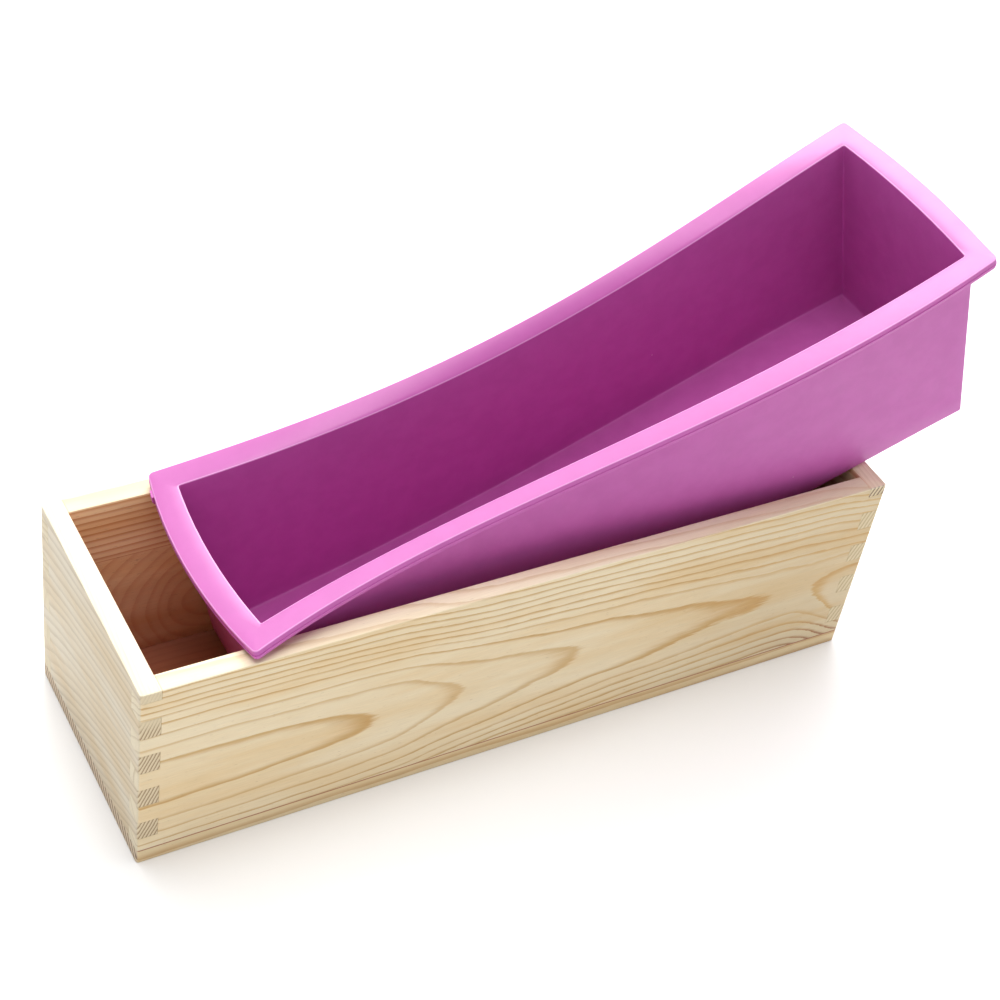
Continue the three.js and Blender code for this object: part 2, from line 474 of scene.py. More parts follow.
print("nub faces:", select_faces(loaf_liner, on_nub))
bpy.ops.mesh.extrude_region_move(TRANSFORM_OT_translate={"value": (-NUB_PROUD, 0, 0)})
for cut in range(1, PARTS_ALONG):
    cut_across(0, -FLANGE_LENGTH / 2 + FLANGE_LENGTH * cut / PARTS_ALONG)
for cut in range(1, PARTS_ACROSS):
    cut_across(1, -FLANGE_WIDTH / 2 + FLANGE_WIDTH * cut / PARTS_ACROSS)
for cut in range(1, PARTS_DOWN):
    cut_across(2, -FLANGE - (TROUGH_DEPTH - FLANGE) * cut / PARTS_DOWN)
print("liner faces after the grid:", len(bmesh.from_edit_mesh(loaf_liner.data).faces))

# %% [markdown]
# ## Flexing the liner
#
# Silicone this thin bends under its own weight and keeps a set from being pulled out. The left
# end lies flat and the right end is high, so the trough is bent along its length. Its long
# walls bow inwards, most at the rim, its two ends bulge outwards, and the flange curls up along
# the middle. Curve and Lattice modifiers can do one of these at a time, but together they are
# simpler as one rule that says where each point of the straight liner goes.

# %% How far each part flexes
TILT_GAIN = math.radians(7)
TILT_SAG = math.radians(-5.8)
TILT_TURN = math.radians(-4.6)
FOOT_SWING = 0.0042
SIDE_SWING = 0.0029
SIDE_SHIFT = -0.0016
REST_GAP = 0.00045
FRONT_BOW = 0.005
FRONT_BOW_SKEW = -2.9
BACK_BOW = 0.0138
BOW_AT_FLOOR = 0.33
LEFT_BULGE = 0.0049
RIGHT_BULGE = 0.003
FRONT_LIP = (math.radians(6.6), math.radians(1.9))
BACK_LIP = (math.radians(2.4), math.radians(23))
LEFT_END = 0.036 - HALF_LENGTH
HALF_FLANGE = FLANGE_LENGTH / 2
LEAN = math.asin(FOOT_SWING / TROUGH_DEPTH)
YAW = math.asin(SIDE_SWING / FLANGE_LENGTH)
TRY_STEP = 0.001


# %% The rule that flexes a point
def slope_at(station, tilt):
    """Slope of the trough from station -1 at its left end to 1 at its right end."""
    return tilt + TILT_GAIN * station + TILT_SAG * station**2 + TILT_TURN * station**3


def centre_line(along, tilt):
    """A point on the bent centre line of the rim, found by adding up short steps."""
    steps = 48
    step = (along + HALF_FLANGE) / steps
    x = z = 0.0
    for index in range(steps):
        slope = slope_at((index + 0.5) * step / HALF_FLANGE - 1, tilt)
        x += step * math.cos(slope)
        z += step * math.sin(slope)
    return x, z


def flexed(point, tilt):
    """Where a point of the straight liner lies once the silicone has flexed."""
    station = point.x / HALF_FLANGE
    across = point.y / (FLANGE_WIDTH / 2)
    depth = min(max(-point.z / TROUGH_DEPTH, 0.0), 1.0)
    belly = 1 - station**2
    is_back = point.y > 0
    bow = BACK_BOW if is_back else FRONT_BOW * (1 + FRONT_BOW_SKEW * station)
    squeeze = bow * belly * (1 - (1 - BOW_AT_FLOOR) * depth) / (FLANGE_WIDTH / 2)
    bulge = RIGHT_BULGE if station > 0 else LEFT_BULGE
    along = point.x + bulge * station**3 * (1 - across**2) * (1 - depth)
    lip = max(0.0, abs(point.y) - OPENING_WIDTH / 2)
    rise, gain = BACK_LIP if is_back else FRONT_LIP
    lip_angle = rise + gain * belly
    y = point.y * (1 - squeeze) - math.copysign(lip, point.y) * (1 - math.cos(lip_angle))
    z = point.z + lip * math.sin(lip_angle)
    lean = LEAN * belly
    lean_y = y * math.cos(lean) - z * math.sin(lean)
    lean_z = y * math.sin(lean) + z * math.cos(lean)
    x, height = centre_line(along, tilt)
    slope = slope_at(along / HALF_FLANGE, tilt)
    return Vector((x - lean_z * math.sin(slope), lean_y, height + lean_z * math.cos(slope)))


# %% [markdown]
# The liner's tilt isn't chosen. Its rim lies on the long boards at the left, and its foot
# touches the top of the right end board, so only one tilt fits. It is found by halving the
# range again and again until the gap is right.

# %% Find the tilt at which the liner rests
def height_on_long_boards(tilt):
    """The height at which the left end of the rim lies on the long boards."""
    lowest = 1.0
    for step in range(35):
        for y in (-FLANGE_WIDTH / 2, -TROUGH_WIDTH / 2, TROUGH_WIDTH / 2, FLANGE_WIDTH / 2):
            corner = flexed(Vector((step * TRY_STEP - HALF_FLANGE, y, -FLANGE)), tilt)
            lowest = min(lowest, corner.z)
    return BOX_HEIGHT + REST_GAP - lowest


def gap_over_end_board(tilt):
    """The smallest gap between the foot and the inner top edge of the right end board."""
    edge = HALF_LENGTH - BOARD - LEFT_END
    height = height_on_long_boards(tilt)
    gap = 1.0
    for side in (-1, -0.5, 0, 0.5, 1):
        y = side * (TROUGH_WIDTH / 2 - DRAFT)
        last = None
        for step in range(132):
            foot = flexed(Vector((step * TRY_STEP, y, -TROUGH_DEPTH)), tilt)
            if last and last.x < edge <= foot.x:
                share = (edge - last.x) / (foot.x - last.x)
                gap = min(gap, height + last.z + (foot.z - last.z) * share - BOX_HEIGHT)
            last = foot
    return gap


low_tilt, high_tilt = math.radians(5), math.radians(60)
for turn in range(30):
    middle_tilt = (low_tilt + high_tilt) / 2
    if gap_over_end_board(middle_tilt) > REST_GAP:
        high_tilt = middle_tilt
    else:
        low_tilt = middle_tilt
resting_tilt = high_tilt
print(f"resting tilt: {math.degrees(resting_tilt):.2f} degrees")

# %% Remember the straight shape, then flex the liner and put it in its place
clear_selection()
mould_place = loaf_liner.data.attributes.new("mould_place", "FLOAT_VECTOR", "POINT")
for vertex, kept in zip(loaf_liner.data.vertices, mould_place.data):
    kept.vector = vertex.co * 1000
put_in_place = Matrix.Translation(
    (LEFT_END, SIDE_SHIFT, height_on_long_boards(resting_tilt))
) @ Matrix.Rotation(YAW, 4, "Z")
for vertex in loaf_liner.data.vertices:
    vertex.co = put_in_place @ flexed(vertex.co, resting_tilt)
loaf_liner.data.update()
finish_piece(loaf_liner, "liner", "silicone_liner", math.radians(35))

# %% [markdown]
# ## Materials
#
# A material here is a small network of nodes. Two helpers keep it readable: one adds a maths
# node and returns what comes out of it, and the other plugs in a number or another node.

# %% Helpers for nodes
def plug(tree, value, socket):
    """Joins a node's output to a socket, or sets the socket to a plain value."""
    if isinstance(value, bpy.types.NodeSocket):
        tree.links.new(value, socket)
    else:
        socket.default_value = value


def maths(tree, operation, *values):
    """Adds a Math node for an operation on numbers, and returns its output."""
    node = tree.nodes.new("ShaderNodeMath")
    node.operation = operation
    for socket, value in zip(node.inputs, values):
        plug(tree, value, socket)
    return node.outputs[0]


def times(tree, first, second):
    """Multiplies two values."""
    return maths(tree, "MULTIPLY", first, second)


def plus(tree, first, second):
    """Adds two values."""
    return maths(tree, "ADD", first, second)


def minus(tree, first, second):
    """Takes the second value from the first."""
    return maths(tree, "SUBTRACT", first, second)


def ramp(tree, value, start, end, low=0.0, high=1.0):
    """Turns a value into a smooth step from low at the start to high at the end."""
    node = tree.nodes.new("ShaderNodeMapRange")
    node.interpolation_type = "SMOOTHSTEP"
    plug(tree, value, node.inputs["Value"])
    plug(tree, start, node.inputs["From Min"])
    plug(tree, end, node.inputs["From Max"])
    plug(tree, low, node.inputs["To Min"])
    plug(tree, high, node.inputs["To Max"])
    return node.outputs["Result"]


def blend_colours(tree, share, first, second, mode="MIX"):
    """Mixes two colours, or lays one over the other with a blend mode."""
    node = tree.nodes.new("ShaderNodeMix")
    node.data_type = "RGBA"
    node.blend_type = mode
    plug(tree, share, node.inputs["Factor"])
    plug(tree, first, node.inputs[6])
    plug(tree, second, node.inputs[7])
    return node.outputs[2]


def swing(tree, value, size):
    """Turns a noise around 0.5 into a swing to both sides of zero."""
    return times(tree, minus(tree, value, 0.5), size)


def scaled(tree, vector, scale):
    """Stretches or squeezes a position, axis by axis."""
    node = tree.nodes.new("ShaderNodeVectorMath")
    node.operation = "MULTIPLY"
    plug(tree, vector, node.inputs[0])
    plug(tree, scale, node.inputs[1])
    return node.outputs[0]


def noise(tree, vector, scale, detail=2.0, roughness=0.5):
    """Adds a cloud-like noise and returns its value, about 0.5 in the middle."""
    node = tree.nodes.new("ShaderNodeTexNoise")
    plug(tree, vector, node.inputs["Vector"])
    node.inputs["Scale"].default_value = scale
    node.inputs["Detail"].default_value = detail
    node.inputs["Roughness"].default_value = roughness
    return node.outputs["Fac"]


def curve(tree, value, points):
    """Adds a Float Curve through straight lines between points, each from 0 to 1."""
    node = tree.nodes.new("ShaderNodeFloatCurve")
    line = node.mapping.curves[0]
    node.mapping.use_clip = False
    line.points[0].location = points[0]
    line.points[1].location = points[-1]
    for point in points[1:-1]:
        line.points.new(*point)
    for point in line.points:
        point.handle_type = "AUTO_CLAMPED"
    node.mapping.update()
    plug(tree, value, node.inputs["Value"])
    return node.outputs[0]


def new_group(name, inputs, outputs):
    """Starts a shader node group with named inputs and outputs."""
    group = bpy.data.node_groups.new(name, "ShaderNodeTree")
    for label, kind, value in inputs:
        socket = group.interface.new_socket(label, in_out="INPUT", socket_type=kind)
        if value is not None:
            socket.default_value = value
    for label, kind in outputs:
        group.interface.new_socket(label, in_out="OUTPUT", socket_type=kind)
    source = group.nodes.new("NodeGroupInput").outputs
    target = group.nodes.new("NodeGroupOutput").inputs
    return group, source, target


def place_group(tree, group, values):
    """Puts a group into a material, sets its inputs by name and returns its outputs."""
    node = tree.nodes.new("ShaderNodeGroup")
    node.node_tree = group
    for label, value in values.items():
        plug(tree, value, node.inputs[label])
    return node.outputs


def linear(red, green, blue):
    """A colour from the 0 to 255 values that a colour picker shows."""

    def channel(value):
        value /= 255
        return value / 12.92 if value <= 0.04045 else ((value + 0.055) / 1.055) ** 2.4

    return (channel(red), channel(green), channel(blue), 1.0)


FLOAT, VECTOR, COLOUR = "NodeSocketFloat", "NodeSocketVector", "NodeSocketColor"
HALF_LENGTH_MM, HALF_WIDTH_MM, TOP_MM = HALF_LENGTH * 1000, HALF_WIDTH * 1000, BOX_HEIGHT * 1000
BOARD_MM, BASE_MM = BOARD * 1000, BASE * 1000

# %% [markdown]
# ## Pine, cut from a tree
#
# Pine's lines are the tree's yearly rings: pale, soft early wood that darkens to honey late
# wood and then stops at a sharp edge, where the next year begins. Painted stripes never look
# right at a corner. So the rings are worked out in the round: every point in a board knows how
# far it is from the heart of the tree, and the faces just show what was cut through. Then a
# face with arches, the lines on an edge and the hatching on end grain all belong together.
#
# Three groups do the work. The first makes the rings wander, as no tree is perfectly round.

# %% Group: how the grain wanders
grain_wander, source, target = new_group(
    "grain wander",
    [("Place", VECTOR, None), ("Wave", FLOAT, 1.5), ("Fray", FLOAT, 0.25), ("Shift", FLOAT, 0.0)],
    [("Offset", FLOAT)],
)
tree = grain_wander
moved = tree.nodes.new("ShaderNodeVectorMath")
moved.operation = "ADD"
plug(tree, source["Place"], moved.inputs[0])
plug(tree, source["Shift"], moved.inputs[1])
slow = noise(tree, scaled(tree, moved.outputs[0], (0.020, 0.055, 0.055)), 1.0, 1.5)
quick = noise(tree, scaled(tree, moved.outputs[0], (0.09, 0.30, 0.30)), 1.0, 1.0)
fray = noise(tree, scaled(tree, moved.outputs[0], (0.10, 1.7, 1.7)), 1.0, 2.0, 0.6)
wave = plus(tree, swing(tree, slow, 2.4), swing(tree, quick, 0.5))
waved = times(tree, wave, source["Wave"])
frayed = times(tree, swing(tree, fray, 2.0), source["Fray"])
plug(tree, plus(tree, waved, frayed), target["Offset"])
print("group made:", grain_wander.name, "with", len(grain_wander.nodes), "nodes")

# %% [markdown]
# The second group turns a ring count into lines. Halfway between two whole numbers a point is
# in the middle of a year's growth. Late wood grows just before the next whole number.

# %% Group: yearly rings
YEAR_EDGE = 0.93
yearly_rings, source, target = new_group(
    "yearly rings",
    [
        ("Ring Count", FLOAT, 0.0),
        ("Late Start", FLOAT, 0.45),
        ("Sharpness", FLOAT, 1.3),
        ("Shift", FLOAT, 0.0),
    ],
    [("Late Wood", FLOAT), ("Year", FLOAT)],
)
tree = yearly_rings
part_of_year = maths(tree, "FRACT", source["Ring Count"])
year = maths(tree, "FLOOR", source["Ring Count"])
lottery = tree.nodes.new("ShaderNodeTexWhiteNoise")
lottery.noise_dimensions = "1D"
plug(tree, plus(tree, year, source["Shift"]), lottery.inputs["W"])
darkening = ramp(tree, part_of_year, source["Late Start"], YEAR_EDGE)
steep = maths(tree, "POWER", darkening, source["Sharpness"])
year_end = ramp(tree, part_of_year, YEAR_EDGE, 1.0, 1.0, 0.0)
plug(tree, times(tree, steep, year_end), target["Late Wood"])
plug(tree, lottery.outputs["Value"], target["Year"])
print("group made:", yearly_rings.name, "with", len(yearly_rings.nodes), "nodes")

# %% [markdown]
# The third group gives the wood its colour and its surface. Under the rings there are broad
# warm and cool streaks, fine fibres, and the tiny brown dashes of resin canals. On end grain
# the fibres are cut across, so it drinks up more dirt and looks greyer and rougher. The sides
# inside the box get a redder painted shade, darker towards the bottom, and the top of the rim
# is painted palest, as painted light.

# %% Group: sanded pine
sanded_pine, source, target = new_group(
    "sanded pine",
    [
        ("Place", VECTOR, None),
        ("Late Wood", FLOAT, 0.0),
        ("Strength", FLOAT, 0.7),
        ("End Grain", FLOAT, 0.0),
        ("Inside Shade", FLOAT, 0.0),
        ("Early Colour", COLOUR, linear(232, 216, 183)),
        ("Late Colour", COLOUR, linear(208, 170, 112)),
        ("Heart Early", COLOUR, linear(253, 222, 184)),
        ("Heart Late", COLOUR, linear(216, 154, 112)),
        ("End Early", COLOUR, linear(218, 206, 180)),
        ("End Late", COLOUR, linear(196, 180, 152)),
    ],
    [("Colour", COLOUR), ("Roughness", FLOAT), ("Height", FLOAT)],
)
tree = sanded_pine
streak = noise(tree, scaled(tree, source["Place"], (0.012, 0.10, 0.10)), 1.0, 3.0, 0.55)
fibre = noise(tree, scaled(tree, source["Place"], (0.12, 5.0, 5.0)), 1.0, 3.0, 0.65)
hair = noise(tree, scaled(tree, source["Place"], (0.35, 2.2, 2.2)), 1.0, 1.0)
canal = ramp(tree, hair, 0.70, 0.76)
shade = times(tree, source["Late Wood"], source["Strength"])
sap_colour = blend_colours(tree, shade, source["Early Colour"], source["Late Colour"])
height_mm = tree.nodes.new("ShaderNodeSeparateXYZ")
plug(tree, source["Place"], height_mm.inputs[0])
# Painted shade: on the sides inside the box the ring colours give way to redder shade colours,
# darker again towards the bottom, in place of the shade and reddish bounced light in there.
shade_rings = blend_colours(tree, shade, source["Heart Early"], source["Heart Late"])
depth = ramp(tree, height_mm.outputs[2], 4.0, 56.0, 0.55, 0.0)
inside_shade_colour = blend_colours(tree, depth, shade_rings, linear(172, 104, 82))
face_colour = blend_colours(tree, source["Inside Shade"], sap_colour, inside_shade_colour)
end_colour = blend_colours(tree, shade, source["End Early"], source["End Late"])
warm = blend_colours(
    tree, ramp(tree, streak, 0.30, 0.72, 0.0, 0.55), face_colour, linear(243, 220, 178), "MULTIPLY"
)
canals = blend_colours(tree, times(tree, canal, 0.30), warm, linear(150, 105, 62))
any_face = blend_colours(tree, source["End Grain"], canals, end_colour)
# Painted light: the top of the rim is painted paler, in place of the strong light on the top faces.
painted_top_light = ramp(tree, height_mm.outputs[2], TOP_MM - 0.6, TOP_MM - 0.2, 0.0, 0.38)
surface = blend_colours(tree, painted_top_light, any_face, linear(250, 242, 220))
grey = ramp(tree, fibre, 0.2, 0.8, 0.90, 1.06)
as_grey = tree.nodes.new("ShaderNodeCombineColor")
for channel_name in ("Red", "Green", "Blue"):
    plug(tree, grey, as_grey.inputs[channel_name])
coloured = blend_colours(tree, 1.0, surface, as_grey.outputs[0], "MULTIPLY")
plug(tree, coloured, target["Colour"])
plain_roughness = ramp(tree, fibre, 0.2, 0.8, 0.56, 0.70)
ringed = minus(tree, plain_roughness, times(tree, shade, 0.08))
rougher = plus(tree, ringed, times(tree, source["End Grain"], 0.12))
plug(tree, rougher, target["Roughness"])
relief = plus(tree, times(tree, fibre, 0.5), minus(tree, times(tree, shade, 0.5), canal))
plug(tree, relief, target["Height"])
print("group made:", sanded_pine.name, "with", len(sanded_pine.nodes), "nodes")


# %% Start and finish a pine material
def start_pine(name, along):
    """Starts a material and gives a place in millimetres whose X runs along the grain."""
    material = bpy.data.materials.new(name)
    material.use_nodes = True
    nodes = material.node_tree
    coordinates = nodes.nodes.new("ShaderNodeTexCoord")
    millimetres = scaled(nodes, coordinates.outputs["Object"], (1000, 1000, 1000))
    parts = nodes.nodes.new("ShaderNodeSeparateXYZ")
    plug(nodes, millimetres, parts.inputs[0])
    x, y, z = parts.outputs
    place = nodes.nodes.new("ShaderNodeCombineXYZ")
    for value, socket in zip((x, y, z) if along == 0 else (y, x, z), place.inputs):
        plug(nodes, value, socket)
    return material, nodes, place.outputs[0], (x, y, z)


def end_grain_mask(nodes, value, half_span):
    """1 on the sawn ends of a board, where its fibres are cut across, and 0 elsewhere."""
    return ramp(nodes, maths(nodes, "ABSOLUTE", value), half_span - 0.7, half_span - 0.1)


def inner_side_mask(nodes, value, inner_face):
    """1 on the side of a board that looks into the box, and 0 on its other faces."""
    distance = maths(nodes, "ABSOLUTE", value)
    return ramp(nodes, distance, inner_face + 0.05, inner_face + 0.35, 1.0, 0.0)


def share_along(nodes, x):
    """How far a point lies along the box, from 0 at the left to 1 at the right."""
    return maths(nodes, "DIVIDE", plus(nodes, x, HALF_LENGTH_MM), 2 * HALF_LENGTH_MM)


def heart_distance(nodes, inward, rise):
    """How far a point is from the heart of the tree, given how far it is across and up."""
    squares = [times(nodes, leg, leg) for leg in (inward, rise)]
    return maths(nodes, "SQRT", plus(nodes, *squares))


def finish_pine(material, nodes, place, late, strength, end_grain, inside_shade, **colours):
    """Colours the wood and joins it to the shader that the new material came with."""
    values = {"Place": place, "Late Wood": late, "Strength": strength}
    # The inside mask lays painted shade on the faces inside the box.
    values.update({"End Grain": end_grain, "Inside Shade": inside_shade})
    values.update({label.replace("_", " "): value for label, value in colours.items()})
    wood = place_group(nodes, sanded_pine, values)
    shader = nodes.nodes["Principled BSDF"]
    plug(nodes, wood["Colour"], shader.inputs["Base Color"])
    plug(nodes, wood["Roughness"], shader.inputs["Roughness"])
    shader.inputs["Specular IOR Level"].default_value = 0.35
    bump = nodes.nodes.new("ShaderNodeBump")
    bump.inputs["Strength"].default_value = 0.35
    bump.inputs["Distance"].default_value = 0.00008
    plug(nodes, wood["Height"], bump.inputs["Height"])
    plug(nodes, bump.outputs[0], shader.inputs["Normal"])
    return material


def dress(piece, material):
    """Gives a piece its material."""
    piece.data.materials.clear()
    piece.data.materials.append(material)
    print(piece.name, "wears", material.name)


# %% [markdown]
# ### The front board
#
# This board is flat-sawn: the saw ran beside the heart of the tree, and because a trunk leans
# and tapers, the distance to the heart changes along the board. That is what draws the nested
# arches. Two curves say where the heart runs, a third how wide each year's ring grew, and a
# fourth how dark its line is. Towards the right the wood is painted darker, as painted shade,
# and its late wood is darkest at the foot.

# %% The front board's material
YEARS = 16.0


def make_front_pine():
    """Flat-sawn pine, with arches that follow the curves above."""
    material, nodes, place, (x, y, z) = start_pine("front board pine", 0)
    share = share_along(nodes, x)
    away = curve(
        nodes,
        share,
        [(0, 0.20), (0.18, 0.235), (0.307, 0.275), (0.40, 0.37), (0.585, 0.45), (0.75, 0.50),
         (0.90, 0.523), (1, 0.465)],
    )
    heart = curve(nodes, share, [(0, 0.4625), (0.35, 0.46), (0.6, 0.468), (0.88, 0.468), (1, 0.37)])
    distance = times(nodes, away, 60.0)
    inward = plus(nodes, distance, plus(nodes, y, HALF_WIDTH_MM))
    rise = minus(nodes, z, times(nodes, heart, TOP_MM))
    radius = heart_distance(nodes, inward, rise)
    wander = place_group(nodes, grain_wander, {"Place": place, "Wave": 1.1, "Fray": 0.30})
    wandered = plus(nodes, radius, wander["Offset"])
    growth = curve(
        nodes,
        maths(nodes, "DIVIDE", wandered, 64.0),
        [(0, 0.0), (0.155, 1 / 16), (0.258, 2 / 16), (0.348, 3 / 16), (0.422, 4 / 16),
         (0.4875, 5 / 16), (0.609, 8 / 16), (0.731, 11 / 16), (0.894, 15 / 16), (0.935, 1.0),
         (1.0, 1.1)],
    )
    count = times(nodes, growth, YEARS)
    late_start = ramp(nodes, count, 4.0, 7.0, 0.62, 0.42)
    rings = place_group(
        nodes, yearly_rings, {"Ring Count": count, "Late Start": late_start, "Sharpness": 1.9}
    )
    middle_of_year = plus(nodes, maths(nodes, "FLOOR", count), 0.5)
    strength = curve(
        nodes,
        maths(nodes, "DIVIDE", middle_of_year, YEARS),
        [(0.0, 0.5), (1.5 / 16, 1.0), (2.5 / 16, 0.65), (3.5 / 16, 0.75), (4.5 / 16, 1.0),
         (5.5 / 16, 0.70), (6.5 / 16, 1.0), (7.5 / 16, 1.0), (9.5 / 16, 0.95), (1.0, 0.95)],
    )
    end_grain = end_grain_mask(nodes, x, HALF_LENGTH_MM)
    inside = inner_side_mask(nodes, y, HALF_WIDTH_MM - BOARD_MM)
    # Painted shade: the early wood is painted darker towards the right end of the board.
    painted_right_shade = ramp(nodes, x, 20.0, 130.0)
    early = blend_colours(nodes, painted_right_shade, linear(234, 218, 186), linear(216, 199, 166))
    at_foot = ramp(nodes, z, BASE_MM, 20.0, 1.0, 0.0)
    toward_foot = times(nodes, ramp(nodes, x, 78.0, 132.0), at_foot)
    late = blend_colours(nodes, toward_foot, linear(203, 168, 112), linear(158, 104, 66))
    return finish_pine(
        material, nodes, place, rings["Late Wood"], strength, end_grain, inside,
        Early_Colour=early, Late_Colour=late,
    )


dress(front_long_board, make_front_pine())

# %% [markdown]
# ### The back board
#
# The back board is glued up from two strips. The upper one is quarter-sawn, with straight dark
# lines. The lower one shows wide arcs. Its inner side gets the redder painted shade.

# %% The back board's material
SEAM_MM = 54.0


def make_back_pine():
    """Two strips of pine, one over the other, with a thin dark seam between them."""
    material, nodes, place, (x, y, z) = start_pine("back board pine", 0)
    share = share_along(nodes, x)
    away = curve(
        nodes, share, [(0, 1.0), (0.12, 0.50), (0.20, 0.16), (0.27, 0.07), (0.45, 0.22), (1, 0.60)]
    )
    distance = times(nodes, away, 52.0)
    inward = plus(nodes, distance, minus(nodes, y, HALF_WIDTH_MM - BOARD_MM))
    rise = minus(nodes, z, 24.0)
    radius = heart_distance(nodes, inward, rise)
    wander = place_group(
        nodes, grain_wander, {"Place": place, "Wave": 0.9, "Fray": 0.25, "Shift": 37.0}
    )
    lower_count = maths(nodes, "DIVIDE", plus(nodes, radius, wander["Offset"]), 4.2)
    straight = plus(nodes, z, times(nodes, y, 0.35))
    wavy = plus(nodes, straight, times(nodes, wander["Offset"], 0.5))
    upper_count = maths(nodes, "DIVIDE", wavy, 2.9)
    lower = place_group(nodes, yearly_rings, {"Ring Count": lower_count, "Late Start": 0.35})
    upper = place_group(
        nodes, yearly_rings, {"Ring Count": upper_count, "Late Start": 0.30, "Shift": 50.0}
    )
    is_upper = ramp(nodes, z, SEAM_MM - 0.05, SEAM_MM + 0.05)
    lower_line = times(nodes, lower["Late Wood"], 0.42)
    upper_line = times(nodes, upper["Late Wood"], is_upper)
    late = plus(nodes, upper_line, times(nodes, lower_line, minus(nodes, 1.0, is_upper)))
    off_seam = maths(nodes, "ABSOLUTE", minus(nodes, z, SEAM_MM))
    seam = ramp(nodes, off_seam, 0.1, 0.3, 1.0, 0.0)
    marked = maths(nodes, "MAXIMUM", late, times(nodes, seam, 0.8))
    end_grain = end_grain_mask(nodes, x, HALF_LENGTH_MM)
    inside = inner_side_mask(nodes, y, HALF_WIDTH_MM - BOARD_MM)
    return finish_pine(material, nodes, place, marked, 0.85, end_grain, inside)


dress(back_long_board, make_back_pine())

# %% [markdown]
# ### The end boards and the base
#
# The grain of the end boards runs from front to back, so their rings show as fine hatching on
# the fingers at the front and as long lines on the ends of the box.

# %% The end boards' materials
def make_end_pine(name, spacing, strength, shift, worn_top, top_finger=None, **colours):
    """Pine with nearly straight rings, whose top finger can have a colour of its own."""
    material, nodes, place, (x, y, z) = start_pine(name, 1)
    across = times(nodes, x, 0.94)
    rise = times(nodes, z, -0.34)
    bend = plus(nodes, -0.188, times(nodes, z, 0.0016))
    skew = times(nodes, y, bend)
    flat = plus(nodes, plus(nodes, across, rise), skew)
    wander = place_group(
        nodes, grain_wander, {"Place": place, "Wave": 0.55, "Fray": 0.10, "Shift": shift}
    )
    count = maths(nodes, "DIVIDE", plus(nodes, flat, wander["Offset"]), spacing)
    rings = place_group(
        nodes, yearly_rings, {"Ring Count": count, "Late Start": 0.25, "Shift": shift}
    )
    power = ramp(nodes, rings["Year"], 0.0, 1.0, strength * 0.65, strength)
    end_grain = end_grain_mask(nodes, y, HALF_WIDTH_MM)
    hatching = times(nodes, end_grain, ramp(nodes, z, 62.0, 68.0, 0.95, worn_top))
    long_grain = times(nodes, power, minus(nodes, 1.0, end_grain))
    stronger = plus(nodes, long_grain, hatching)
    inside = inner_side_mask(nodes, x, HALF_LENGTH_MM - BOARD_MM)
    late = rings["Late Wood"]
    if top_finger:
        joint = TOP_MM - TOP_FINGER * 1000
        is_top = ramp(nodes, z, joint - 0.2, joint + 0.1)
        colours["End_Late"] = blend_colours(nodes, is_top, colours["End_Late"], top_finger)
    return finish_pine(material, nodes, place, late, stronger, end_grain, inside, **colours)


dress(
    left_fingered_end,
    make_end_pine(
        "left end pine", 1.25, 0.6, 11.0, worn_top=0.15,
        Early_Colour=linear(212, 202, 183), Late_Colour=linear(176, 162, 138),
        End_Early=linear(220, 204, 172), End_Late=linear(146, 112, 78),
    ),
)
dress(
    right_fingered_end,
    make_end_pine(
        "right end pine", 1.8, 0.7, 83.0, worn_top=0.9, top_finger=linear(92, 44, 30),
        Early_Colour=linear(226, 206, 176), Late_Colour=linear(196, 160, 116),
        End_Early=linear(222, 206, 172), End_Late=linear(188, 166, 128),
    ),
)


# %% The base board's material
def make_base_pine():
    """Pine with slanting rings, dark on its end grain, and with painted shade on the side inside
    the box.
    """
    material, nodes, place, (x, y, z) = start_pine("base board pine", 0)
    flat = plus(nodes, times(nodes, y, 0.86), times(nodes, z, -0.50))
    drift = plus(nodes, flat, times(nodes, x, 0.006))
    wander = place_group(
        nodes, grain_wander, {"Place": place, "Wave": 0.6, "Fray": 0.15, "Shift": 59.0}
    )
    count = maths(nodes, "DIVIDE", plus(nodes, drift, wander["Offset"]), 2.5)
    rings = place_group(nodes, yearly_rings, {"Ring Count": count, "Late Start": 0.3, "Shift": 7.0})
    end_grain = end_grain_mask(nodes, x, HALF_LENGTH_MM)
    power = maths(nodes, "MAXIMUM", ramp(nodes, rings["Year"], 0.0, 1.0, 0.55, 0.95), end_grain)
    # Painted shade: the top face inside the box takes the dark, redder shade colours given below.
    inside = ramp(nodes, z, BASE_MM - 0.5, BASE_MM - 0.1)
    return finish_pine(
        material, nodes, place, rings["Late Wood"], power, end_grain, inside,
        Early_Colour=linear(226, 206, 168), Late_Colour=linear(192, 150, 98),
        End_Early=linear(212, 194, 168), End_Late=linear(92, 56, 38),
        Heart_Early=linear(176, 124, 98), Heart_Late=linear(158, 104, 78),
    )


dress(base_panel, make_base_pine())

# %% [markdown]
# ## Silicone
#
# Cured silicone is satin, not shiny. Light goes a little way in and comes out again, so thin
# lips glow a little and shadows look soft. On top of that, a pale band along each lip of the
# flange's top is a painted highlight. The colour is even, with faint clouds where the pigment
# is not quite mixed, and a few specks of dust, because silicone holds every bit of lint. The
# top of the flange is glossier and a little deeper in colour than the rest.

# %% The liner's material
def edge_distance(nodes, place, length, width, radius):
    """How far a point lies outside a rounded oblong, in millimetres, on the straight liner."""
    beyond = []
    radius *= 1000
    for value, size in ((place[0], length), (place[1], width)):
        past = minus(nodes, maths(nodes, "ABSOLUTE", value), size * 500 - radius)
        clipped = maths(nodes, "MAXIMUM", past, 0.0)
        beyond.append(times(nodes, clipped, clipped))
    corner = maths(nodes, "SQRT", plus(nodes, *beyond))
    return minus(nodes, corner, radius)


